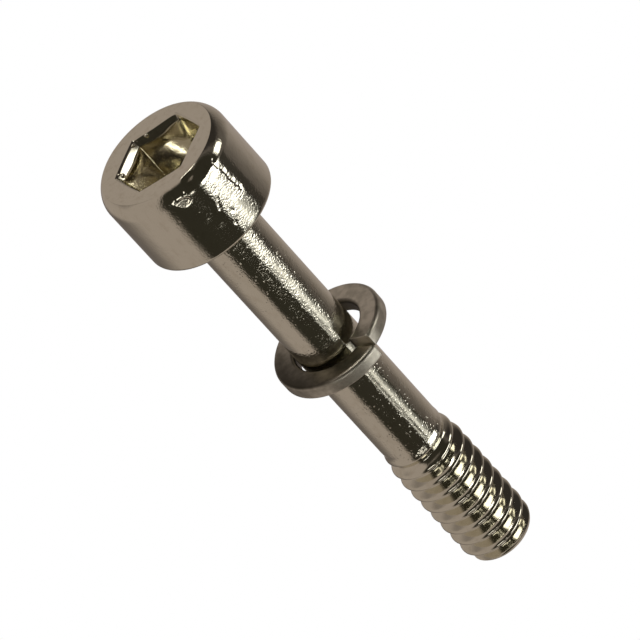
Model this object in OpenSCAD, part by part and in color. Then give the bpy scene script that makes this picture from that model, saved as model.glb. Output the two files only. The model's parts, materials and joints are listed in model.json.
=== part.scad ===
// Socket head screw with a split lock washer riding on its plain shank.
// Stands on the flat of its head: the origin is the centre of that face,
// +Z runs along the shank to the threaded tip, and +X passes through a corner of the socket.

/* [Head] */
// Diameter of the round head
head_d = 8.33; // [7.5:0.01:10]
// Height of the head, from its face to its underside
head_h = 5.35; // [4.8:0.05:7]
// How far the rounded top edge reaches in from the side
crown_w = 0.48; // [0.2:0.01:0.8]
// How far the rounded top edge reaches down the side
crown_h = 0.98; // [0.9:0.01:1.5]
// Radius of the lower edge of the head
heel_r = 0.28; // [0.05:0.01:0.6]

/* [Socket] */
// Width of the hexagonal socket across its flats
socket_af = 4.76; // [3:0.01:5.2]
// Depth of the flat walls of the socket
socket_depth = 3.2; // [1.5:0.05:3.8]
// Width of the bevel round the mouth of the socket
mouth_bevel = 0.08; // [0.02:0.01:0.2]
// Width of the flat ledge left round the cone in the socket floor
floor_ledge = 0.25; // [0.1:0.01:0.6]
// Included angle of the cone in the socket floor, in degrees
floor_angle = 124; // [110:1:150]

/* [Shank] */
// Diameter of the plain shank
shank_d = 4.03; // [3.6:0.01:4.2]
// Length from the underside of the head to the tip
shank_len = 30.16; // [26:0.01:60]
// Radius of the fillet between head and shank
neck_r = 0.2; // [0.05:0.01:0.24]

/* [Thread] */
// Outer diameter of the thread
thread_d = 4.7; // [4.3:0.01:5.2]
// Distance from one crest to the next
pitch = 1.0583; // [0.7:0.0001:1.4]
// Depth of the thread, as a share of the pitch
thread_depth = 0.56; // [0.4:0.01:0.65]
// Length of the threaded end, run-out included
thread_len = 10.4; // [6:0.05:14]
// Length over which the thread rises out of the shank
runout_len = 2.6; // [1:0.05:4]
// Direction in which the first crest leaves the shank, in degrees
thread_turn = 24; // [0:1:359]
// Diameter of the flat on the tip
point_d = 3.5; // [2.5:0.01:4]
// Length of the rounded edge of the tip
point_len = 1.1; // [0.5:0.05:2]

/* [Lock washer] */
// Outer diameter of the washer
washer_d = 7.47; // [6.5:0.01:9]
// Clearance all round between the washer and the shank
washer_clear = 0.35; // [0.1:0.01:0.6]
// How far the washer hangs to one side, as a share of that clearance
washer_lean = 0.63; // [0:0.01:0.9]
// Direction in which it hangs, in degrees
lean_turn = 160; // [0:1:359]
// Thickness of the washer
washer_t = 0.95; // [0.5:0.01:1.4]
// Radius of the washer's edges on the side of the head
washer_edge_r = 0.24; // [0.05:0.01:0.35]
// Radius of its edges on the side of the tip
washer_back_r = 0.1; // [0.05:0.01:0.35]
// How far one end of the washer is sprung away from the other
washer_rise = 0.75; // [0:0.05:1.5]
// Width of the split between the ends
split_w = 0.06; // [0.02:0.01:1]
// Direction that the split faces, in degrees
split_turn = 228; // [0:1:359]
// How much further round the split lies at the bore than at the rim, in degrees
split_skew = 8.4; // [0:0.1:20]
// Distance from the underside of the head to the middle of the washer
washer_at = 11.69; // [2:0.01:17]

/* [Hidden] */

// Smoothness of the turned surfaces
$fn = 128;
// Overlap that lets one cut run clear of a face
over = 0.1;

head_r = head_d / 2;
shank_r = shank_d / 2;
thread_r = thread_d / 2;
point_r = point_d / 2;
tip_z = head_h + shank_len;
thread_z = tip_z - thread_len;
// Arc that meets the side of the head smoothly and breaks into its face at an angle
crown_r = (crown_h * crown_h + crown_w * crown_w) / (2 * crown_w);
// Socket across its corners, below the bevel and at the mouth
socket_d = socket_af / cos(30);
mouth_d = (socket_af + 2 * mouth_bevel) / cos(30);
floor_r = socket_af / 2 - floor_ledge;
floor_h = floor_r / tan(floor_angle / 2);

// Rolled thread form over one pitch, round at the crest and tighter at the root:
// place along the pitch, and depth below the crest, both as shares
thread_form = [
    [0, 0], [0.12, 0.04], [0.22, 0.24], [0.4, 0.86], [0.5, 1], [0.6, 0.86], [0.78, 0.24], [0.88, 0.04]
];
form_n = len(thread_form);
// Facets round the thread
around = 40;
// Length of the thread's core that sits inside the shank, and how far it lies below the surface there
core_in = 0.6;
core_sink = 0.01;
core_z = thread_z - core_in;
core_r = shank_r - core_sink;
core_turns = ceil(core_in / pitch) + 1;
turns = core_turns + ceil(thread_len / pitch) + 2;
rows = turns * form_n;
first_z = thread_z - pitch * (core_turns + thread_turn / 360);

washer_bore_r = shank_r + washer_clear;
washer_wide = washer_d / 2 - washer_bore_r;
washer_mid_r = washer_bore_r + washer_wide / 2;
washer_z = head_h + washer_at;
washer_aside = washer_lean * washer_clear * [cos(lean_turn), sin(lean_turn)];
split_angle = split_w / washer_mid_r * 180 / PI;
// Cross sections along the washer, and facets in each rounded edge
washer_steps = 60;
edge_steps = 3;

function limit(v, low, high) = max(low, min(high, v));
function ease(v) = v * v * (3 - 2 * v);

// Height of a thread point: rows climb with the helix and stop at the two flat ends
function row_z(col, row) =
    first_z + pitch * (floor(row / form_n) + thread_form[row % form_n][0] + col / around);
// How much of the thread has risen out of the shank at height z
function risen(z) = ease(limit((z - thread_z) / runout_len, 0, 1));
// Widest radius that the rounded tip allows at height z
function tip_limit(z) =
    let (in_tip = limit((tip_z - z) / point_len, 0, 1))
    point_r + (thread_r - point_r) * sqrt(1 - pow(1 - in_tip, 2));
function thread_radius(row, z) =
    let (cut = thread_r - thread_depth * pitch * thread_form[row % form_n][1])
    min(core_r + (cut - core_r) * risen(z), tip_limit(z));
function thread_point(col, row) =
    let (z = limit(row_z(col, row), core_z, tip_z))
    let (r = thread_radius(row, z))
    let (r_end = z <= thread_z ? core_r : z >= tip_z ? min(r, point_r) : r)
    [r_end * cos(360 * col / around), r_end * sin(360 * col / around), z];

// First and last row of a column that lie between the flat ends
function low_row(col) = max([for (row = [0:rows - 1]) if (row_z(col, row) <= core_z) row]);
function high_row(col) = min([for (row = [0:rows - 1]) if (row_z(col, row) >= tip_z) row]);
low_rows = [for (col = [0:around - 1]) low_row(col)];
high_rows = [for (col = [0:around - 1]) high_row(col)];

// Index of a thread point: past the last column, the helix meets the first one a pitch higher
function spot(col, row) =
    col < around
        ? col * rows + limit(row, low_rows[col], high_rows[col])
        : spot(0, row + form_n);
function differ(face) = face[0] != face[1] && face[1] != face[2] && face[2] != face[0];

module threaded_end() {
    points = [for (col = [0:around - 1], row = [0:rows - 1]) thread_point(col, row)];
    sides = [
        for (col = [0:around - 1], row = [-form_n:rows - 2])
        let (a = spot(col, row), b = spot(col + 1, row))
        let (c = spot(col + 1, row + 1), d = spot(col, row + 1))
        for (face = [[a, c, b], [a, d, c]])
        if (differ(face)) face
    ];
    core_end = [for (col = [0:around - 1]) spot(col, -form_n)];
    tip_end = [for (col = [around - 1:-1:0]) spot(col, rows - 1)];
    polyhedron(points, concat(sides, [core_end, tip_end]), convexity = 20);
}

// Outline of the head and shank, from the axis out
module blank_outline() {
    difference() {
        square([head_r, head_h]);
        crown_waste();
        heel_waste();
    }
    translate([0, head_h / 2]) square([shank_r, thread_z - head_h / 2]);
    translate([shank_r, head_h]) neck_fillet();
}

module crown_waste() {
    difference() {
        translate([head_r - crown_w, -over]) square([crown_w + over, crown_h + over]);
        translate([head_r - crown_r, crown_h]) circle(crown_r);
    }
}

module heel_waste() {
    translate([head_r - heel_r, head_h - heel_r]) difference() {
        square(heel_r + over);
        circle(heel_r);
    }
}

module neck_fillet() {
    difference() {
        translate([-over, -over]) square(neck_r + over);
        translate([neck_r, neck_r]) circle(neck_r);
    }
}

module socket_waste() {
    translate([0, 0, -over]) cylinder(h = socket_depth + over, d = socket_d, $fn = 6);
    cylinder(h = mouth_bevel, d1 = mouth_d, d2 = socket_d, $fn = 6);
    rotate_extrude() polygon([
        [0, socket_depth - over],
        [floor_r, socket_depth - over],
        [floor_r, socket_depth],
        [0, socket_depth + floor_h]
    ]);
}

module cap_screw() {
    color([0.72, 0.68, 0.62]) difference() {
        union() {
            rotate_extrude() blank_outline();
            threaded_end();
        }
        socket_waste();
    }
}

// Rounded cross section of the washer: [distance out from its middle, height]
washer_section = [
    for (corner = [0:3], step = [0:edge_steps])
    let (turn = 90 * (corner + step / edge_steps))
    let (out = corner == 0 || corner == 3 ? 1 : -1, up = corner < 2 ? 1 : -1)
    let (edge_r = up > 0 ? washer_back_r : washer_edge_r)
    [
        out * (washer_wide / 2 - edge_r) + edge_r * cos(turn),
        up * (washer_t / 2 - edge_r) + edge_r * sin(turn)
    ]
];
section_n = len(washer_section);

// The washer is wound left-handed: it climbs as it goes clockwise from the split
function washer_point(step, corner) =
    let (share = step / washer_steps)
    let (out = washer_section[corner][0])
    let (lag = split_angle / 2 + split_skew * out / washer_wide)
    let (turn = split_turn - lag - share * (360 - split_angle))
    let (r = washer_mid_r + out)
    [
        washer_aside[0] + r * cos(turn),
        washer_aside[1] + r * sin(turn),
        washer_z + washer_section[corner][1] + washer_rise * (share - 0.5)
    ];

module lock_washer() {
    points = [for (step = [0:washer_steps], corner = [0:section_n - 1]) washer_point(step, corner)];
    sides = [
        for (step = [0:washer_steps - 1], corner = [0:section_n - 1])
        let (next = (corner + 1) % section_n)
        let (a = step * section_n + corner, b = step * section_n + next)
        let (c = b + section_n, d = a + section_n)
        for (face = [[a, c, b], [a, d, c]]) face
    ];
    first_end = [for (corner = [0:section_n - 1]) corner];
    last_end = [for (corner = [section_n - 1:-1:0]) washer_steps * section_n + corner];
    color([0.42, 0.39, 0.35]) polyhedron(points, concat(sides, [first_end, last_end]), convexity = 6);
}

cap_screw();
lock_washer();
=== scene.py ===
import json
import math
import random

import bpy
import numpy as np
from mathutils import Matrix, Vector


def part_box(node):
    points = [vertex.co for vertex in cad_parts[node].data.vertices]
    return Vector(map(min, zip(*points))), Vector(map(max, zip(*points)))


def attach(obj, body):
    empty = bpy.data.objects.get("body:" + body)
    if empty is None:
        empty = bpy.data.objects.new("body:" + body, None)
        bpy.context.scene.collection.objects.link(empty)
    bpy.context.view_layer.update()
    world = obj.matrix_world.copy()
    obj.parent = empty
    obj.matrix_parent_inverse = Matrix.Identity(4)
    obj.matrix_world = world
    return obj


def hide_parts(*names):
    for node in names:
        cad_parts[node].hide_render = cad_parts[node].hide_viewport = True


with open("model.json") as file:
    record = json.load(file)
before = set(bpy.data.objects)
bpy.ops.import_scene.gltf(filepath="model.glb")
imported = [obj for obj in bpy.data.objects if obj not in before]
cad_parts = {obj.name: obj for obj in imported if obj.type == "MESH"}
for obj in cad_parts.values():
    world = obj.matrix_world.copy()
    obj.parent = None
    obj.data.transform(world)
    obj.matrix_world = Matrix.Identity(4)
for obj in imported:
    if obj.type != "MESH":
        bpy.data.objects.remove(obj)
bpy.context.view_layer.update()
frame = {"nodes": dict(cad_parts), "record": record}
mounts = {m["name"]: m for m in frame["record"]["mounts"]}
mm = 0.001
sharpAngle = math.radians(50)                  # edges sharper than this stay crisp
print("frame loaded:", ", ".join(sorted(frame["nodes"])))


class Wire:
    # one value in a node tree; arithmetic on it adds Math nodes there
    def __init__(self, tree, socket=None):
        self.tree = tree
        self.socket = socket

    def node(self, kind, settings, inputs, output=0):
        made = self.tree.nodes.new(kind)
        for name, value in settings.items():
            setattr(made, name, value)
        for name, value in inputs.items():
            if isinstance(value, Wire):
                self.tree.links.new(value.socket, made.inputs[name])
            else:
                made.inputs[name].default_value = value
        return Wire(self.tree, made.outputs[output] if made.outputs else None)

    def output(self, name):
        return Wire(self.tree, self.socket.node.outputs[name])

    def math(self, operation, first, second=0.0):
        return self.node("ShaderNodeMath", {"operation": operation}, {0: first, 1: second})

    def __add__(self, other):
        return self.math("ADD", self, other)

    def __radd__(self, other):
        return self.math("ADD", other, self)

    def __sub__(self, other):
        return self.math("SUBTRACT", self, other)

    def __rsub__(self, other):
        return self.math("SUBTRACT", other, self)

    def __mul__(self, other):
        return self.math("MULTIPLY", self, other)

    def __rmul__(self, other):
        return self.math("MULTIPLY", other, self)

    def most(self, other):
        return self.math("MAXIMUM", self, other)

    def ease(self, low, high):
        # 0 below low, 1 above high, smooth between; turned round where low is the larger
        return self.node(
            "ShaderNodeMapRange", {"interpolation_type": "SMOOTHSTEP"},
            {"Value": self, "From Min": low, "From Max": high})

    def within(self, spread):
        # 1 in the middle of a spread of four values: rise from, rise to, fall from, fall to
        riseFrom, riseTo, fallFrom, fallTo = spread
        return self.ease(riseFrom, riseTo) * self.ease(fallTo, fallFrom)

    def floored(self, low):
        # 0 becomes low, and 1 stays 1
        return self * (1 - low) + low

    def tint(self, first, second):
        # colour that goes from first to second as this goes from 0 to 1
        return self.node("ShaderNodeMix", {"data_type": "RGBA"}, {0: self, 6: first, 7: second}, 2)

    def glow(self, tone):
        # colour that is as bright as this value
        return self.node("ShaderNodeVectorMath", {"operation": "SCALE"}, {0: tone, "Scale": self})

    def plus(self, colour):
        return self.node("ShaderNodeVectorMath", {"operation": "ADD"}, {0: self, 1: colour})

    def scaled(self, x, y, z):
        return self.node("ShaderNodeVectorMath", {"operation": "MULTIPLY"}, {0: self, 1: (x, y, z)})

    def parts(self):
        split = self.node("ShaderNodeSeparateXYZ", {}, {0: self})
        return split, split.output("Y"), split.output("Z")

    def noise(self, scale, detail=2.0, rough=0.5):
        return self.node(
            "ShaderNodeTexNoise", {}, {"Vector": self, "Scale": scale, "Detail": detail, "Roughness": rough})

    def cells(self, size):
        # distance from the middle of the nearest cell
        return self.node(
            "ShaderNodeTexVoronoi", {"feature": "F1"}, {"Vector": self, "Scale": 1 / size, "Randomness": 1.0})


def newMaterial(name):
    # an empty material, and its tree as a Wire
    material = bpy.data.materials.new(name)
    material.use_nodes = True
    material.node_tree.nodes.clear()
    return material, Wire(material.node_tree)


def placeInMm(sheet):
    return sheet.node("ShaderNodeTexCoord", {}, {}, "Object").scaled(1 / mm, 1 / mm, 1 / mm)


def finishMetal(sheet, colour, roughness, height):
    # bare metal with a skin whose height is in mm
    bump = sheet.node("ShaderNodeBump", {}, {"Strength": 1.0, "Distance": mm, "Height": height})
    shader = sheet.node(
        "ShaderNodeBsdfPrincipled", {},
        {"Base Color": colour, "Metallic": 1.0, "Roughness": roughness, "Normal": bump})
    sheet.node("ShaderNodeOutputMaterial", {}, {"Surface": shader})


def newObject(name, points, faces, material, smooth=True):
    # points are in mm
    mesh = bpy.data.meshes.new(name)
    mesh.from_pydata([(x * mm, y * mm, z * mm) for x, y, z in points], [], faces)
    mesh.validate()
    mesh.polygons.foreach_set("use_smooth", [smooth] * len(mesh.polygons))
    mesh.set_sharp_from_angle(angle=sharpAngle)
    mesh.materials.append(material)
    obj = bpy.data.objects.new(name, mesh)
    bpy.context.scene.collection.objects.link(obj)
    return obj


def easeStep(v):
    v = np.clip(v, 0.0, 1.0)
    return v * v * (3 - 2 * v)


def arc(centre, radius, fromDeg, toDeg, steps):
    angles = np.radians(np.linspace(fromDeg, toDeg, steps + 1))
    return [(centre[0] + radius * math.cos(a), centre[1] + radius * math.sin(a)) for a in angles]


def line(start, end, steps):
    # points after start, up to and with end
    start, end = np.array(start), np.array(end)
    return [tuple(start + (end - start) * k / steps) for k in range(1, steps + 1)]


def evenTurns(count):
    return np.arange(count) * 2 * math.pi / count


def roundRing(radius, height, turns):
    return np.column_stack([radius * np.cos(turns), radius * np.sin(turns), np.full(len(turns), height)])


def addRing(points, ring):
    points.extend(tuple(p) for p in ring)
    return len(points) - len(ring)


def bridge(faces, lower, upper, around):
    # faces between two rings, given by the index of their first points
    for k in range(around):
        j = (k + 1) % around
        faces.append((lower + k, lower + j, upper + j, upper + k))


def halve(faces, lower, upper, around):
    # faces from a ring to one with half as many points
    for k in range(around // 2):
        near, far = upper + k, upper + (k + 1) % (around // 2)
        first, second, third = lower + 2 * k, lower + 2 * k + 1, lower + (2 * k + 2) % around
        faces.extend([(first, second, near), (second, far, near), (second, third, far)])


# the screw: one closed skin, from the bottom of the socket over the head and along the shank to the tip (mm)

screw = {
    "around": 192, "headAround": 384,          # points round the shank and round the head
    "crownWidth": 0.48, "crownHeight": 0.98, "rimRound": 0.08, "heelRound": 0.28,
    "rimSteps": 6, "crownSteps": 14, "sideSteps": 56, "heelSteps": 8, "underSteps": 2,
    "faceShares": (0.1, 0.3, 0.5, 0.7, 0.9, 1.0),
    "socketAcross": 4.76, "cornerRound": 0.07, "cornerSteps": 6, "wallSteps": 5,
    # the walls flare to the mouth, more in their middle than at the corners
    "flare": 0.28, "flareDepth": 0.60, "cornerFlare": 0.245, "cornerDepth": 0.46,
    "flareCurve": 1.1, "flareSteps": 9,
    # one wall leans out instead, and takes its neighbours along from these shares of the way across
    "leanTurn": 150, "leanOut": 0.5, "leanDepth": 2.0, "leanFrom": 0.5, "leanFull": 0.95,
    "mouthBevel": 0.08, "bevelShares": ((0.6, 0.3), (1.4, 0.08), (2.0, 0.0)),      # wider by, down by
    "floorLedge": 0.25, "floorAngle": 124, "coneShares": (0.06, 0.2, 0.4, 0.6, 0.8, 0.93, 1.0),
    "footRings": ((0.06, 0.0), (0.02, 0.01)), "footHeight": 0.04,                  # narrower by, up by
    "shankRadius": 2.015, "neckRound": 0.2, "neckSteps": 8, "shankSteps": 30,
    "pitch": 1.0583, "flankSlope": 60.0, "crestRound": 0.17, "rootRound": 0.12,
    "formSteps": 20, "runout": 2.6, "threadTurn": 24, "threadSeam": 1e-4,
    "pointRadius": 1.75, "pointLength": 1.1, "tipShare": 0.6,
}
screwLow, screwHigh = (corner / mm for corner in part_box("cap_screw"))
headRadius = min(screwHigh.x, screwHigh.y, -screwLow.x, -screwLow.y)
tipHeight = screwHigh.z
headHeight = mounts["bearing_face"]["pos_m"][2] / mm
socketDepth = mounts["hex_socket"]["dims"]["length_mm"]
threadRadius = mounts["thread"]["dims"]["r_mm"]
threadBase = tipHeight - mounts["thread"]["dims"]["length_mm"]
crownRadius = (screw["crownHeight"] ** 2 + screw["crownWidth"] ** 2) / (2 * screw["crownWidth"])
shankTurns = evenTurns(screw["around"])
headTurns = evenTurns(screw["headAround"])


def hexRing(across, height, bow=0.0):
    # hexagon with rounded corners, first corner on +X, its sides bowed out in the middle
    cornerRound, cornerSteps, halfCorner = screw["cornerRound"], screw["cornerSteps"], math.pi / 6
    straight = screw["headAround"] // 6 - 2 * cornerSteps
    centreOut = (across / 2 - cornerRound) / math.cos(halfCorner)

    def onArc(turn, swing):
        return np.array([
            centreOut * math.cos(turn) + cornerRound * math.cos(turn + swing),
            centreOut * math.sin(turn) + cornerRound * math.sin(turn + swing)])

    points = []
    for side in range(6):
        corner, following = side * math.pi / 3, (side + 1) * math.pi / 3
        start, end = onArc(corner, halfCorner), onArc(following, -halfCorner)
        outward = np.array([math.cos(corner + halfCorner), math.sin(corner + halfCorner)])
        for k in range(cornerSteps):
            points.append(onArc(corner, halfCorner * k / cornerSteps))
        for k in range(straight):
            share = k / straight
            points.append(start + (end - start) * share + outward * bow * 4 * share * (1 - share))
        for k in range(cornerSteps):
            points.append(onArc(following, -halfCorner * (1 - k / cornerSteps)))
    points = np.array(points)
    return np.column_stack([points, np.full(len(points), height)])


def leanWall(ring, height, flare):
    # moves one wall from its flare to its lean
    turn = math.radians(screw["leanTurn"])
    outward = np.array([math.cos(turn), math.sin(turn), 0.0])
    out = ring @ outward
    share = easeStep((out / out.max() - screw["leanFrom"]) / (screw["leanFull"] - screw["leanFrom"]))
    lean = screw["leanOut"] * max(0.0, 1 - height / screw["leanDepth"]) - flare
    return ring + np.outer(share * lean, outward)


def socketRings():
    # the tip of the cone, then rings from there over the ledge and up the six walls to the face
    bevel, bow = screw["mouthBevel"], screw["flare"] - screw["cornerFlare"]
    across = screw["socketAcross"] - screw["flare"] - screw["cornerFlare"]
    mouth = across + 2 * screw["cornerFlare"]
    floorRadius = across / 2 - screw["floorLedge"]
    coneHeight = floorRadius / math.tan(math.radians(screw["floorAngle"] / 2))
    rings = []
    for share in screw["coneShares"]:
        rings.append(roundRing(floorRadius * share, socketDepth + coneHeight * (1 - share), headTurns))
    rings.append((rings[-1] + hexRing(across, socketDepth)) * 0.5)
    for narrower, up in screw["footRings"]:
        rings.append(hexRing(across - narrower, socketDepth - up))
    for height in np.linspace(socketDepth - screw["footHeight"], screw["flareDepth"], screw["wallSteps"]):
        rings.append(leanWall(hexRing(across, height), height, 0.0))
    for step in range(screw["flareSteps"], 0, -1):
        share = step / (screw["flareSteps"] + 1)
        height = screw["flareDepth"] * share
        middle = screw["flare"] * (1 - share) ** screw["flareCurve"]
        atCorner = screw["cornerFlare"] * max(0.0, 1 - height / screw["cornerDepth"]) ** screw["flareCurve"]
        rings.append(leanWall(hexRing(across + 2 * atCorner, height, middle - atCorner), height, middle))
    for wider, down in screw["bevelShares"]:
        height = bevel * down
        rings.append(leanWall(hexRing(mouth + wider * bevel, height, bow), height, screw["flare"]))
    apex = (0.0, 0.0, socketDepth + coneHeight)
    return apex, rings


def headProfile():
    # radius and height from the rim of the face to the underside of the head
    crownCentre = (headRadius - crownRadius, screw["crownHeight"])
    rim, heel = screw["rimRound"], screw["heelRound"]
    rimOut = crownCentre[0] + math.sqrt((crownRadius - rim) ** 2 - (crownCentre[1] - rim) ** 2)
    meet = math.degrees(math.atan2(rim - crownCentre[1], rimOut - crownCentre[0]))
    profile = arc((rimOut, rim), rim, -90, meet, screw["rimSteps"])
    profile += arc(crownCentre, crownRadius, meet, 0, screw["crownSteps"])[1:]
    profile += line(profile[-1], (headRadius, headHeight - heel), screw["sideSteps"])
    profile += arc((headRadius - heel, headHeight - heel), heel, 0, 90, screw["heelSteps"])[1:]
    neckOut = screw["shankRadius"] + 2 * screw["neckRound"]
    return profile + line(profile[-1], (neckOut, headHeight), screw["underSteps"])


def shankProfile():
    # radius and height from the underside of the head to the last plain ring of the shank
    neck, shank = screw["neckRound"], screw["shankRadius"]
    profile = arc((shank + neck, headHeight + neck), neck, 270, 180, screw["neckSteps"])
    return profile + line(profile[-1], (shank, threadBase), screw["shankSteps"])


# dents and nicks on the head (mm and degrees): direction, height, half width, half height, depth, lean

headMarks = [
    (-140.0, 0.62, 0.30, 0.10, 0.050, 8),
    (-132.0, 1.02, 0.55, 0.30, 0.020, 20),
    (-119.2, 2.60, 0.15, 0.14, 0.055, 30),
    (-121.2, 2.32, 0.12, 0.12, 0.045, 0),
    (-117.4, 2.86, 0.11, 0.13, 0.040, 20),
    (-119.7, 4.22, 0.14, 0.11, 0.045, -20),
    (-124.0, 3.55, 0.12, 0.22, 0.030, 10),
    (-95.5, 0.72, 0.14, 0.12, 0.050, -20),
    (-94.5, 0.45, 0.26, 0.14, 0.035, -30),
    (-104.5, 0.62, 0.20, 0.12, 0.040, 25),
    (-101.9, 2.70, 0.60, 0.50, 0.010, 40),
    (-108.5, 3.50, 0.50, 0.40, 0.010, -30),
    (-96.0, 3.90, 0.45, 0.55, 0.009, 0),
    (-82.5, 0.90, 0.20, 0.10, 0.010, 0),
    (-116.0, 0.20, 0.60, 0.26, 0.085, 0),
]

# rows of small nicks that run down the side, each strayed by chance
nickRows = (
    {"count": 12, "turn": -138.2, "turnStep": -0.25, "stray": 1.2, "height": 0.85, "heightStep": 0.21,
     "wide": (0.10, 0.16), "tall": (0.10, 0.18), "depth": (0.03, 0.06), "lean": 30},
    {"count": 9, "turn": -89.0, "turnStep": 0.0, "stray": 2.5, "height": 0.5, "heightStep": 0.36,
     "wide": (0.06, 0.13), "tall": (0.06, 0.13), "depth": (0.006, 0.012), "lean": 40},
)
chance = random.Random(11)
for row in nickRows:
    for step in range(row["count"]):
        headMarks.append((
            row["turn"] + row["turnStep"] * step + chance.uniform(-row["stray"], row["stray"]),
            row["height"] + row["heightStep"] * step,
            chance.uniform(*row["wide"]), chance.uniform(*row["tall"]),
            chance.uniform(*row["depth"]), chance.uniform(-row["lean"], row["lean"])))

# a flat knocked into the edge, with its slopes round the head and along it
headFlat = {
    "turn": -99.0, "height": 1.06, "wide": 0.56, "tall": 0.34,
    "depth": 0.050, "slopes": (-0.10, -0.13), "edge": 0.4,
}


def roundFrom(turn):
    # distance round the head from one direction, column by column
    return ((headTurns - math.radians(turn) + math.pi) % (2 * math.pi) - math.pi) * headRadius


def flatDepth(height):
    across, up = roundFrom(headFlat["turn"]), height - headFlat["height"]
    inside = 1 - (across / headFlat["wide"]) ** 2 - (up / headFlat["tall"]) ** 2
    depth = headFlat["depth"] + headFlat["slopes"][0] * across + headFlat["slopes"][1] * up
    # less the rounding of the head, which leaves a plane
    depth -= across ** 2 / (2 * headRadius) + max(0.0, screw["crownHeight"] - height) ** 2 / (2 * crownRadius)
    return easeStep(inside / headFlat["edge"]) * np.clip(depth, 0, None)


def markDepth(height):
    # how far the marks sink the side of the head at one height, column by column
    sunk = flatDepth(height)
    for turn, middle, wide, tall, depth, lean in headMarks:
        across = roundFrom(turn)
        cosLean, sinLean = math.cos(math.radians(lean)), math.sin(math.radians(lean))
        along = (across * cosLean + (height - middle) * sinLean) / wide
        up = ((height - middle) * cosLean - across * sinLean) / tall
        sunk += depth * np.clip(1 - along ** 2 - up ** 2, 0, None) ** 2
    return sunk


def formDepth(u):
    # depth below the crest at place u along one pitch: round crest, straight flanks, round root
    slope, crest, root = math.radians(screw["flankSlope"]), screw["crestRound"], screw["rootRound"]
    away, half = min(u, 1 - u) * screw["pitch"], screw["pitch"] / 2
    crestEnd, rootStart = crest * math.sin(slope), half - root * math.sin(slope)
    shoulder = crest * (1 - math.cos(slope))
    floorDepth = shoulder + (rootStart - crestEnd) * math.tan(slope) + root * (1 - math.cos(slope))
    if away < crestEnd:
        return crest - math.sqrt(crest ** 2 - away ** 2)
    if away > rootStart:
        return floorDepth - root + math.sqrt(root ** 2 - (half - away) ** 2)
    return shoulder + (away - crestEnd) * math.tan(slope)


def threadRadiusAt(u, height):
    # the thread rises out of the shank over its run-out, and the rounded tip cuts it off
    cut = threadRadius - formDepth(u)
    risen = easeStep((height - threadBase) / screw["runout"])
    radius = screw["shankRadius"] + (cut - screw["shankRadius"]) * risen
    inTip = min(max((tipHeight - height) / screw["pointLength"], 0.0), 1.0)
    limit = screw["pointRadius"] + (threadRadius - screw["pointRadius"]) * math.sqrt(1 - (1 - inTip) ** 2)
    return min(radius, limit)


def addThread(points, faces, baseRing):
    # rows climb with the helix; they stop at the shank's last ring and at the flat of the tip
    around, steps, pitch, seam = screw["around"], screw["formSteps"], screw["pitch"], screw["threadSeam"]
    firstHeight = threadBase - pitch * (1 + screw["threadTurn"] / 360)
    rows = (math.ceil((tipHeight - firstHeight) / pitch) + 1) * steps
    tipRing = addRing(points, roundRing(screw["pointRadius"], tipHeight, shankTurns))
    spots = {}
    for column in range(around):
        for row in range(rows):
            height = firstHeight + pitch * (row / steps + column / around)
            if height <= threadBase + seam:
                spots[column, row] = baseRing + column
            elif height >= tipHeight - seam:
                spots[column, row] = tipRing + column
            else:
                radius = threadRadiusAt(row % steps / steps, height)
                spots[column, row] = len(points)
                points.append((
                    radius * math.cos(shankTurns[column]), radius * math.sin(shankTurns[column]), height))

    def spot(column, row):
        if column == around:
            return spot(0, row + steps)
        if row < 0:
            return baseRing + column
        return spots[column, row] if row < rows else tipRing + column

    for column in range(around):
        for row in range(-steps, rows):
            face = []
            for corner in ((column, row), (column + 1, row), (column + 1, row + 1), (column, row + 1)):
                index = spot(*corner)
                if index not in face:
                    face.append(index)
            if len(face) > 2:
                faces.append(face)
    return tipRing


# beads of plate that gathered in two corners of the socket's mouth: centre and radius (mm)

beads = [
    (1.26, 2.33, 0.42, 0.15), (1.17, 2.36, 0.20, 0.10), (0.53, 2.30, 0.15, 0.14), (1.45, 2.06, 0.11, 0.10),
    (2.58, 0.28, 0.13, 0.12), (2.42, 0.26, 0.30, 0.15),
]


def addBead(points, faces, bead):
    columns, rows = 16, 10
    x, y, z, radius = bead
    first = len(points)
    points.append((x, y, z - radius))
    for row in range(1, rows):
        tilt = math.pi * (row / rows - 0.5)
        ring = roundRing(radius * math.cos(tilt), z + radius * math.sin(tilt), evenTurns(columns))
        addRing(points, ring + (x, y, 0.0))
    points.append((x, y, z + radius))
    last = len(points) - 1
    for column in range(columns):
        following = (column + 1) % columns
        faces.append((first, first + 1 + following, first + 1 + column))
        faces.append((last, last - columns + column, last - columns + following))
    for row in range(rows - 2):
        bridge(faces, first + 1 + row * columns, first + 1 + (row + 1) * columns, columns)


def screwMesh():
    headAround, around = screw["headAround"], screw["around"]
    points, faces = [], []
    apex, rings = socketRings()
    head = headProfile()
    mouth, rim = rings[-1], roundRing(*head[0], headTurns)
    rings += [mouth + (rim - mouth) * share for share in screw["faceShares"]]
    rings += [roundRing(radius - markDepth(height), height, headTurns) for radius, height in head[1:]]
    points.append(apex)
    last = addRing(points, rings[0])
    for k in range(headAround):
        faces.append((0, last + (k + 1) % headAround, last + k))
    for ring in rings[1:]:
        current = addRing(points, ring)
        bridge(faces, last, current, headAround)
        last = current
    for place, (radius, height) in enumerate(shankProfile()):
        current = addRing(points, roundRing(radius, height, shankTurns))
        if place == 0:
            halve(faces, last, current, headAround)
        else:
            bridge(faces, last, current, around)
        last = current
    tipRing = addThread(points, faces, last)
    inner = addRing(points, roundRing(screw["pointRadius"] * screw["tipShare"], tipHeight, shankTurns))
    bridge(faces, tipRing, inner, around)
    points.append((0.0, 0.0, tipHeight))
    for k in range(around):
        faces.append((inner + k, inner + (k + 1) % around, len(points) - 1))
    for bead in beads:
        addBead(points, faces, bead)
    return points, faces


# nickel plate: bright and warm, its skin pebbled by the rough metal under it (mm)

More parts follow.
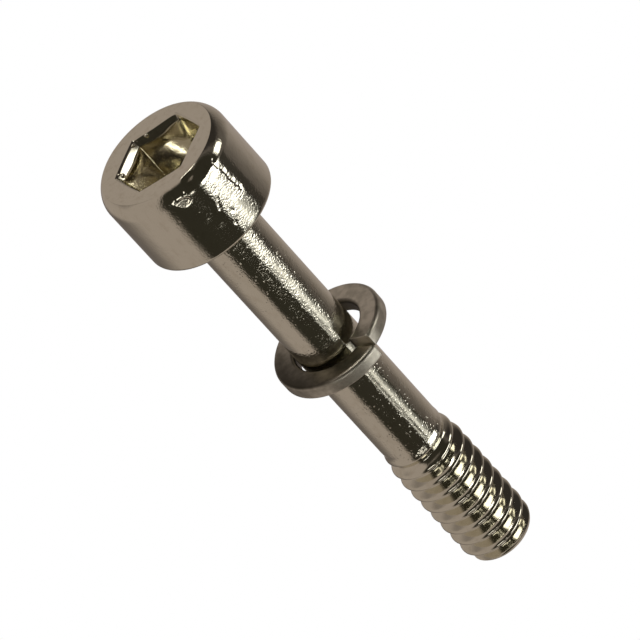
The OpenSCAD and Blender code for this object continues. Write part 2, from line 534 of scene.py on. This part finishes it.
nickel = {
    "colour": (0.77, 0.745, 0.62, 1), "tarnish": (0.68, 0.645, 0.52, 1),
    "tarnishFrom": 0.45, "tarnishFull": 0.8, "cloudScale": 2.2, "cloudStretch": (1.0, 1.0, 0.5),
    "roughness": 0.055, "cloudRough": 0.05,
    "shankRough": 0.03,                        # added on the shank and the thread
    "floorRough": 0.06,                        # added on the floor of the socket
    "grainSize": 0.10, "grainHeight": 0.0045,
    "pebbleSize": 0.12, "pebbleHeight": 0.0035, "pebbleFall": 2.5,
    "noduleSize": 0.17, "noduleHeight": 0.017, "noduleReach": 0.42, "nodulePick": (0.2, 0.8),
    "streakScale": (7.0, 7.0, 0.35), "streakHeight": 0.0012,
    "waveScale": 1.1, "waveHeight": 0.012,
    "patchScale": 0.6, "patchEdge": (0.38, 0.62), "patchShare": 0.35,      # smoother patches
    "faceEdge": (2.9, 3.3), "neckFade": (-0.2, 0.4), "threadFade": 1.5,
    "headShare": 0.42, "threadShare": 0.12,    # head and thread are smoother than the shank
    "lowerFade": (9.5, 13.0), "lowerShare": 0.75,      # the grain is strongest next to the head
    "quiet": (10.5, 14.0, 17.5, 19.5), "quietCut": 0.55,       # fewer nodules at these heights
    "headNodules": 0.13,
    "floorFade": (0.5, 0.1), "floorShare": 1.1,        # the floor is as the drill left it
}


def nickelMaterial():
    material, sheet = newMaterial("nickelPlate")
    place = placeInMm(sheet)
    x, y, z = place.parts()

    # how rough each stretch is
    neckLow, neckHigh = nickel["neckFade"]
    onShank = z.ease(headHeight + neckLow, headHeight + neckHigh)
    outside = sheet.math("SQRT", x * x + y * y).ease(*nickel["faceEdge"]).most(onShank)
    patches = place.noise(nickel["patchScale"], detail=3.0, rough=0.6).ease(*nickel["patchEdge"])
    plain = z.ease(threadBase + nickel["threadFade"], threadBase)
    grainy = outside * onShank.floored(nickel["headShare"]) * patches.floored(nickel["patchShare"])
    grainy = grainy * plain.floored(nickel["threadShare"])
    specks = 1.0 - z.within(nickel["quiet"]) * nickel["quietCut"]
    specks = grainy * specks * onShank.floored(nickel["headNodules"])
    floorLow, floorHigh = nickel["floorFade"]
    onFloor = (1.0 - outside) * z.ease(socketDepth - floorLow, socketDepth - floorHigh)
    upper = z.ease(nickel["lowerFade"][1], nickel["lowerFade"][0])
    rough = grainy * upper.floored(nickel["lowerShare"]) + onFloor * nickel["floorShare"]

    # the skin: grain and pebbles, nodules, drawn streaks and a slow wave
    grain = place.noise(1 / nickel["grainSize"], rough=0.6)
    pebbles = place.cells(nickel["pebbleSize"])
    domes = 1.0 - pebbles * pebbles * nickel["pebbleFall"]
    spots = place.cells(nickel["noduleSize"])
    picked = spots.output("Color").parts()[0].ease(*nickel["nodulePick"])
    nodules = spots.ease(nickel["noduleReach"], 0.0) * picked
    streak = place.scaled(*nickel["streakScale"]).noise(1.0, rough=0.6)
    wave = place.noise(nickel["waveScale"], detail=1.0, rough=0.4)
    height = (
        rough * (grain * nickel["grainHeight"] + domes * nickel["pebbleHeight"])
        + specks * nodules * nickel["noduleHeight"]
        + streak * nickel["streakHeight"] + wave * nickel["waveHeight"])

    cloud = place.scaled(*nickel["cloudStretch"]).noise(nickel["cloudScale"], detail=4.0, rough=0.55)
    tarnished = cloud.ease(nickel["tarnishFrom"], nickel["tarnishFull"])
    colour = tarnished.tint(nickel["colour"], nickel["tarnish"])
    roughness = nickel["roughness"] + cloud * nickel["cloudRough"]
    roughness = roughness + onShank * nickel["shankRough"] + onFloor * nickel["floorRough"]
    finishMetal(sheet, colour, roughness, height)
    return material


# the lock washer: a rounded section swept once round a left-hand helix (mm)

washer = {
    "outRadius": 3.735, "boreRadius": 2.365, "thick": 0.95,
    "edgeRound": 0.24, "backRound": 0.1, "endRound": 0.04,     # towards the head, the tip, the split
    "rise": 0.75, "split": 0.06, "splitTurn": 228, "skew": 8.4,
    "shift": 0.2205, "shiftTurn": 160,         # it hangs to one side of the shank
    "steps": 240, "edgeSteps": 6, "flatSteps": 6, "endSteps": 4,
}
washerLow, washerHigh = (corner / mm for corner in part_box("lock_washer"))
washerMiddle = (washerLow.z + washerHigh.z) / 2
washerRadius = (washer["outRadius"] + washer["boreRadius"]) / 2
washerWide = washer["outRadius"] - washer["boreRadius"]
washerAside = [washer["shift"] * part(math.radians(washer["shiftTurn"])) for part in (math.cos, math.sin)]


def washerSection():
    # points round the section, out from its middle and up
    def edgeArc(corner):
        out = 1 if corner in (0, 3) else -1
        up = 1 if corner < 2 else -1
        edge = washer["backRound"] if up > 0 else washer["edgeRound"]
        centre = (out * (washerWide / 2 - edge), up * (washer["thick"] / 2 - edge))
        return arc(centre, edge, 90 * corner, 90 * corner + 90, washer["edgeSteps"])

    section = []
    for corner in range(4):
        section += edgeArc(corner)
        section += line(section[-1], edgeArc((corner + 1) % 4)[0], washer["flatSteps"])[:-1]
    return section


def washerStations():
    # share of the way round, and how far the section is drawn in, with both ends rounded off
    endShare = washer["endRound"] / (2 * math.pi * washerRadius)
    swing = np.linspace(0, math.pi / 2, washer["endSteps"] + 1)[:-1]
    start = [(endShare * (1 - math.cos(a)), washer["endRound"] * (1 - math.sin(a))) for a in swing]
    body = [(share, 0.0) for share in np.linspace(endShare, 1 - endShare, washer["steps"] + 1)]
    return start + body + [(1 - share, drawn) for share, drawn in reversed(start)]


def washerMesh():
    gap = math.degrees(washer["split"] / washerRadius)
    section, stations = washerSection(), washerStations()
    count = len(section)
    points, faces = [], []
    for share, drawn in stations:
        for out, up in section:
            lag = gap / 2 + washer["skew"] * out / washerWide
            turn = math.radians(washer["splitTurn"] - lag - share * (360 - gap))
            reach = washerRadius + out * (1 - 2 * drawn / washerWide)
            points.append((
                washerAside[0] + reach * math.cos(turn), washerAside[1] + reach * math.sin(turn),
                washerMiddle + up * (1 - 2 * drawn / washer["thick"]) + washer["rise"] * (share - 0.5)))
    for step in range(len(stations) - 1):
        bridge(faces, step * count, (step + 1) * count, count)
    faces.append(tuple(range(count - 1, -1, -1)))
    faces.append(tuple(range(len(points) - count, len(points))))
    return points, faces


# spring steel: darker and satin, with fine marks that follow the ring (mm)

spring = {
    "colour": (0.68, 0.65, 0.55, 1), "dull": (0.48, 0.46, 0.38, 1), "stain": (0.075, 0.070, 0.053, 1),
    "cloudScale": 1.3, "dullFrom": 0.35, "dullFull": 0.7,
    "stainTurn": 325,                          # degrees; darkest towards here, fading away from here
    "stainCloud": 0.3, "stainFlat": 0.6, "stainFrom": 0.75, "stainFull": 1.7,
    "flatFacing": (-0.3, -0.95),               # the flat that faces the head takes more of it, as painted shade
    # painted shade in the bore, where the washer meets the shank
    "boreStain": 0.9, "boreFade": (0.25, 0.03),
    "roughness": 0.34, "cloudRough": 0.1,
    "ringScale": 9.0, "ringHeight": 0.003, "grainScale": 12.0, "grainHeight": 0.003,
}


def springMaterial():
    material, sheet = newMaterial("springSteel")
    place = placeInMm(sheet)
    x, y, z = place.parts()
    x, y = x - washerAside[0], y - washerAside[1]
    reach = sheet.math("SQRT", x * x + y * y)
    fine = spring["ringScale"]
    rings = sheet.node("ShaderNodeCombineXYZ", {}, {"X": reach * fine, "Y": 0.0, "Z": z * fine})
    rings = rings.noise(1.0, detail=3.0, rough=0.6)
    grain = place.noise(spring["grainScale"], detail=3.0, rough=0.6)
    cloud = place.noise(spring["cloudScale"], detail=3.0, rough=0.6)
    height = rings * spring["ringHeight"] + grain * spring["grainHeight"]

    colour = cloud.ease(spring["dullFrom"], spring["dullFull"]).tint(spring["colour"], spring["dull"])
    # darker towards one side; painted shade on the flat that faces the head and in the bore
    stainTurn, perRadius = math.radians(spring["stainTurn"]), 1 / washer["outRadius"]
    aside = x * (math.cos(stainTurn) * perRadius) + y * (math.sin(stainTurn) * perRadius)
    flat = sheet.node("ShaderNodeTexCoord", {}, {}, "Normal").parts()[2].ease(*spring["flatFacing"])
    stain = aside + cloud * spring["stainCloud"] + flat * spring["stainFlat"]
    stain = stain.ease(spring["stainFrom"], spring["stainFull"])
    boreOuter, boreInner = (washer["boreRadius"] + fade for fade in spring["boreFade"])
    boreShade = reach.ease(boreOuter, boreInner) * spring["boreStain"]
    colour = stain.most(boreShade).tint(colour, spring["stain"])
    finishMetal(sheet, colour, spring["roughness"] + cloud * spring["cloudRough"], height)
    return material


# where the photograph was taken from, in the part's frame (mm and degrees)

photo = {
    "place": (-79.75, -221.97, -143.54),
    "azimuth": -109.634, "elevation": -33.996, "roll": 137.81,
    "focalPixels": 5005.0, "imagePixels": 640.0, "sensor": 36.0,
    "clip": (0.001, 10.0),                     # metres
}
cameraTurn = math.radians(photo["azimuth"] + 90)       # turns -Y to the camera's side


def photoRotation():
    azimuth, elevation, roll = (math.radians(photo[k]) for k in ("azimuth", "elevation", "roll"))
    outReach = math.cos(elevation)
    back = Vector((outReach * math.cos(azimuth), outReach * math.sin(azimuth), math.sin(elevation)))
    level = Vector((0, 0, 1)).cross(back).normalized()
    upright = back.cross(level)
    right = level * math.cos(roll) + upright * math.sin(roll)
    return Matrix((right, back.cross(right), back)).transposed()


def addCamera():
    data = bpy.data.cameras.new("photoCamera")
    data.sensor_width = photo["sensor"]
    data.lens = photo["sensor"] * photo["focalPixels"] / photo["imagePixels"]
    data.clip_start, data.clip_end = photo["clip"]
    camera = bpy.data.objects.new("photoCamera", data)
    bpy.context.scene.collection.objects.link(camera)
    camera.matrix_world = Matrix.Translation(Vector(photo["place"]) * mm) @ photoRotation().to_4x4()
    bpy.context.scene.camera = camera


def onlyInMetal(obj):
    # turned to the camera's side, and seen in reflections alone
    obj.rotation_euler = (0, 0, cameraTurn)
    obj.visible_camera = obj.visible_diffuse = obj.visible_shadow = False


def azimuthOf(x, y):
    # degrees to the right of the camera
    return x.math("ARCTAN2", x * -1.0, y * -1.0) * (180 / math.pi)


# light: a tent seen only in the metal, beige behind, dark on the camera's side, with bright panels
# (mm, and degrees: azimuth to the right of the camera and tilt above level, as rise from, to, fall from, to)

tent = {
    "radius": 260.0, "columns": 48, "rows": 24,
    "beige": (0.369, 0.315, 0.287, 1), "room": (0.030, 0.027, 0.020, 1),
    "roomAzimuth": (-56, -41, 58, 76), "roomTilt": (-68, -54, 46, 60),
    # the backdrop dims forward on the right, and close behind the screw on the left
    "right": {"side": (0.05, 0.45), "towards": (-0.98, -0.15), "dim": 0.70},
    "left": {"side": (0.02, -0.3), "towards": (-0.33, -0.87), "height": (0.1, 0.4), "dim": 0.60},
    "shades": (
        {"azimuth": (-165, -145, -122, -102), "tilt": (-70, -55, -36, -18), "dim": 0.36},
        {"azimuth": (70, 90, 150, 170), "tilt": (-75, -60, -28, -8), "dim": 0.7},
    ),
    "panels": (
        {"azimuth": (64, 69, 84, 88), "tilt": (-22, -15, 2, 8), "level": 2.4, "colour": (1.0, 0.97, 0.90)},
        {"azimuth": (-13, -11, -8, -6), "tilt": (14, 16, 23, 25), "level": 1.6, "colour": (1.0, 0.96, 0.92)},
        {"azimuth": (-3, -1, 2, 4), "tilt": (14, 16, 23, 25), "level": 1.6, "colour": (1.0, 0.96, 0.92)},
        {"azimuth": (18, 23, 60, 68), "tilt": (13, 16, 27, 29), "level": 3.0, "colour": (1.0, 0.98, 0.97)},
        {"azimuth": (-32, -28, -14, -10), "tilt": (-4, 0, 10, 14), "level": 1.8, "colour": (1.0, 0.96, 0.92)},
    ),
    # a small round lamp that lights the socket
    "lamp": {"azimuth": 60, "tilt": -80, "outer": 9.5, "inner": 6, "level": 6.5, "colour": (1.0, 0.97, 0.90)},
}


def tentMaterial():
    material, sheet = newMaterial("tentGlow")
    place = sheet.node("ShaderNodeTexCoord", {}, {}, "Object")
    outward = sheet.node("ShaderNodeVectorMath", {"operation": "NORMALIZE"}, {0: place})
    x, y, z = outward.parts()
    side, near = x * -1.0, y * -1.0
    azimuth = azimuthOf(x, y)
    tilt = sheet.math("ARCSINE", z) * (180 / math.pi)
    elevation = math.radians(photo["elevation"])
    towards = near * math.cos(elevation) + z * math.sin(elevation)

    right, left = tent["right"], tent["left"]
    rightDim = side.ease(*right["side"]) * towards.ease(*right["towards"]) * right["dim"]
    leftDim = side.ease(*left["side"]) * towards.ease(*left["towards"])
    leftDim = leftDim * z.ease(*left["height"]) * left["dim"]
    bright = 1.0 - rightDim.most(leftDim)
    for shade in tent["shades"]:
        bright = bright * (1.0 - azimuth.within(shade["azimuth"]) * tilt.within(shade["tilt"]) * shade["dim"])
    dark = azimuth.within(tent["roomAzimuth"]) * tilt.within(tent["roomTilt"])
    colour = dark.tint(bright.tint((0, 0, 0, 1), tent["beige"]), tent["room"])

    for panel in tent["panels"]:
        shape = azimuth.within(panel["azimuth"]) * tilt.within(panel["tilt"])
        colour = colour.plus((shape * panel["level"]).glow(panel["colour"]))
    lamp = tent["lamp"]
    lampTurn, lampTilt, outer, inner = (math.radians(lamp[k]) for k in ("azimuth", "tilt", "outer", "inner"))
    outReach = math.cos(lampTilt)
    aim = (-outReach * math.sin(lampTurn), -outReach * math.cos(lampTurn), math.sin(lampTilt))
    facing = sheet.node("ShaderNodeVectorMath", {"operation": "DOT_PRODUCT"}, {0: outward, 1: aim}, "Value")
    disc = facing.ease(math.cos(outer), math.cos(inner))
    colour = colour.plus((disc * lamp["level"]).glow(lamp["colour"]))
    glow = sheet.node("ShaderNodeEmission", {}, {"Color": colour, "Strength": 1.0})
    sheet.node("ShaderNodeOutputMaterial", {}, {"Surface": glow})
    return material


def addTent():
    columns, rows, radius = tent["columns"], tent["rows"], tent["radius"]
    points, faces = [], []
    for row in range(rows + 1):
        tilt = math.pi * (row / rows - 0.5)
        addRing(points, roundRing(radius * math.cos(tilt), radius * math.sin(tilt), evenTurns(columns)))
    for row in range(rows):
        bridge(faces, row * columns, (row + 1) * columns, columns)
    obj = newObject("tent", points, faces, tentMaterial())
    obj.location = (0, 0, tipHeight / 2 * mm)
    onlyInMetal(obj)


# key light: a tall curved card beside the camera, in bright bands (degrees to the right of the camera, mm)

key = {
    "reach": 150.0, "span": (15, 90), "heights": (60, 420), "columns": 30, "colour": (1.0, 0.985, 0.96),
    "bands": (
        {"azimuth": (21.2, 22.8, 24.7, 26.3), "height": (103, 107, 330, 400), "level": 1.05},
        {"azimuth": (34, 38, 42, 47), "height": (90, 95, 330, 400), "level": 0.5},
        {"azimuth": (25, 33, 46, 60), "height": (90, 95, 117, 123), "level": 0.47},
        {"azimuth": (32, 37, 46, 60), "height": (117, 123, 330, 400), "level": 0.40},
    ),
    # a dark flag beside the bands, low down, that only the head sees
    "flag": {"azimuth": (60, 66, 80, 87), "height": (62, 68, 105.5, 108), "share": 0.75},
    "flagColour": (0.02, 0.018, 0.014, 1),
}


def keyMaterial():
    material, sheet = newMaterial("keyGlow")
    x, y, z = placeInMm(sheet).parts()
    azimuth = azimuthOf(x, y)
    strength = 0.0
    for band in key["bands"]:
        strength = strength + azimuth.within(band["azimuth"]) * z.within(band["height"]) * band["level"]
    flagged = azimuth.within(key["flag"]["azimuth"]) * z.within(key["flag"]["height"]) * key["flag"]["share"]
    glow = sheet.node("ShaderNodeEmission", {}, {"Color": strength.glow(key["colour"]), "Strength": 1.0})
    black = sheet.node("ShaderNodeEmission", {}, {"Color": key["flagColour"], "Strength": 1.0})
    clear = sheet.node("ShaderNodeBsdfTransparent", {}, {})
    screen = sheet.node("ShaderNodeMixShader", {}, {0: flagged, 1: clear, 2: black})
    shader = sheet.node("ShaderNodeAddShader", {}, {0: glow, 1: screen})
    sheet.node("ShaderNodeOutputMaterial", {}, {"Surface": shader})
    return material


def addKey():
    points, faces = [], []
    for turn in np.radians(np.linspace(*key["span"], key["columns"] + 1)):
        for height in key["heights"]:
            points.append((-key["reach"] * math.sin(turn), -key["reach"] * math.cos(turn), height))
    for column in range(key["columns"]):
        a = 2 * column
        faces.append((a, a + 1, a + 3, a + 2))
    obj = newObject("keyCard", points, faces, keyMaterial())
    onlyInMetal(obj)


# floor: pale, open under the flat of the head, and clear from below (mm)

floor = {
    "size": 900.0, "hole": 3.5, "sides": 48, "drop": 0.01,
    "colour": (0.80, 0.79, 0.77, 1), "mottle": (0.84, 0.83, 0.81, 1), "mottleScale": 30.0,
}


def floorMaterial():
    material, sheet = newMaterial("paleFloor")
    behind = sheet.node("ShaderNodeNewGeometry", {}, {}, "Backfacing")
    mottle = sheet.node("ShaderNodeTexCoord", {}, {}, "Object").noise(floor["mottleScale"], detail=3.0)
    paper = sheet.node("ShaderNodeBsdfDiffuse", {}, {"Color": mottle.tint(floor["colour"], floor["mottle"])})
    clear = sheet.node("ShaderNodeBsdfTransparent", {}, {})
    shader = sheet.node("ShaderNodeMixShader", {}, {0: behind, 1: paper, 2: clear})
    sheet.node("ShaderNodeOutputMaterial", {}, {"Surface": shader})
    return material


def addFloor():
    sides = floor["sides"]
    points, faces = [], []
    for reach in (floor["hole"], floor["size"]):
        addRing(points, roundRing(reach, -floor["drop"], evenTurns(sides)))
    bridge(faces, sides, 0, sides)
    obj = newObject("floor", points, faces, floorMaterial(), smooth=False)
    obj.visible_glossy = False


# world: white where it is seen, and a little less as a light

whiteRoom = {"colour": (1, 1, 1, 1), "lightLevel": 0.75}


def addWorld():
    world = bpy.data.worlds.new("whiteRoom")
    world.use_nodes = True
    world.node_tree.nodes.clear()
    sheet = Wire(world.node_tree)
    rays = sheet.node("ShaderNodeLightPath", {}, {}, "Is Camera Ray")
    seen = rays.most(rays.output("Is Glossy Ray")).most(rays.output("Is Transmission Ray"))
    strength = seen.floored(whiteRoom["lightLevel"])
    glow = sheet.node("ShaderNodeBackground", {}, {"Color": whiteRoom["colour"], "Strength": strength})
    sheet.node("ShaderNodeOutputWorld", {}, {"Surface": glow})
    bpy.context.scene.world = world


screwPiece = newObject("screw", *screwMesh(), nickelMaterial())
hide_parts("cap_screw")
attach(screwPiece, "screw")
print("screw:", len(screwPiece.data.vertices), "points")

washerPiece = newObject("lockWasher", *washerMesh(), springMaterial())
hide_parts("lock_washer")
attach(washerPiece, "washer")
print("washer:", len(washerPiece.data.vertices), "points")

addTent()
addKey()
addFloor()
addWorld()
print("light: tent, key card, floor and white room")

addCamera()
bpy.context.scene.view_settings.view_transform = "Standard"
bpy.context.scene.cycles.glossy_bounces = 10   # light goes round the socket and the thread
print("camera: at the photograph's place")
